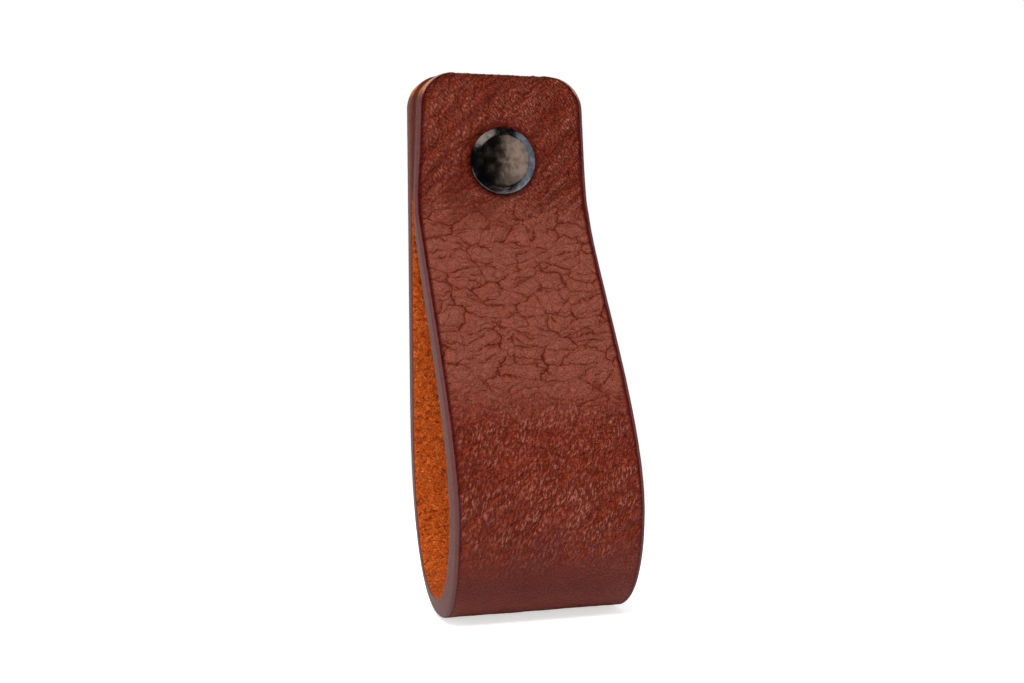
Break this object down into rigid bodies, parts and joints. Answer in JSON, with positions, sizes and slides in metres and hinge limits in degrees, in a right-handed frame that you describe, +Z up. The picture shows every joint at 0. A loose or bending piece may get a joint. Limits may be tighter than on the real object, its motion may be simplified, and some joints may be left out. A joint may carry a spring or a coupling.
{
  "type": "leather strap pull",
  "caption": "Leather strap folded into a finger loop, its two ends clamped at the top by a blank domed sleeve nut and a machine screw from behind the door.",
  "frame": {"origin": "on the screw's axis, in the plane of the door's front face that the strap's back lies on", "axes": "+Z up, +Y into the door along the screw, +X across the strap's width to the right as seen from the front"},
  "size_m": [0.0256, 0.0478, 0.0725],
  "materials": {
    "strap_leather": "red-brown pebbled grain outside, orange suede inside, painted edges",
    "nut_metal": "polished black nickel plate",
    "screw_steel": "bright zinc plate"
  },
  "bodies": {
    "root": {"leather_strap": "strap_leather", "sleeve_nut": "nut_metal", "machine_screw": "screw_steel"}
  },
  "joints": []
}
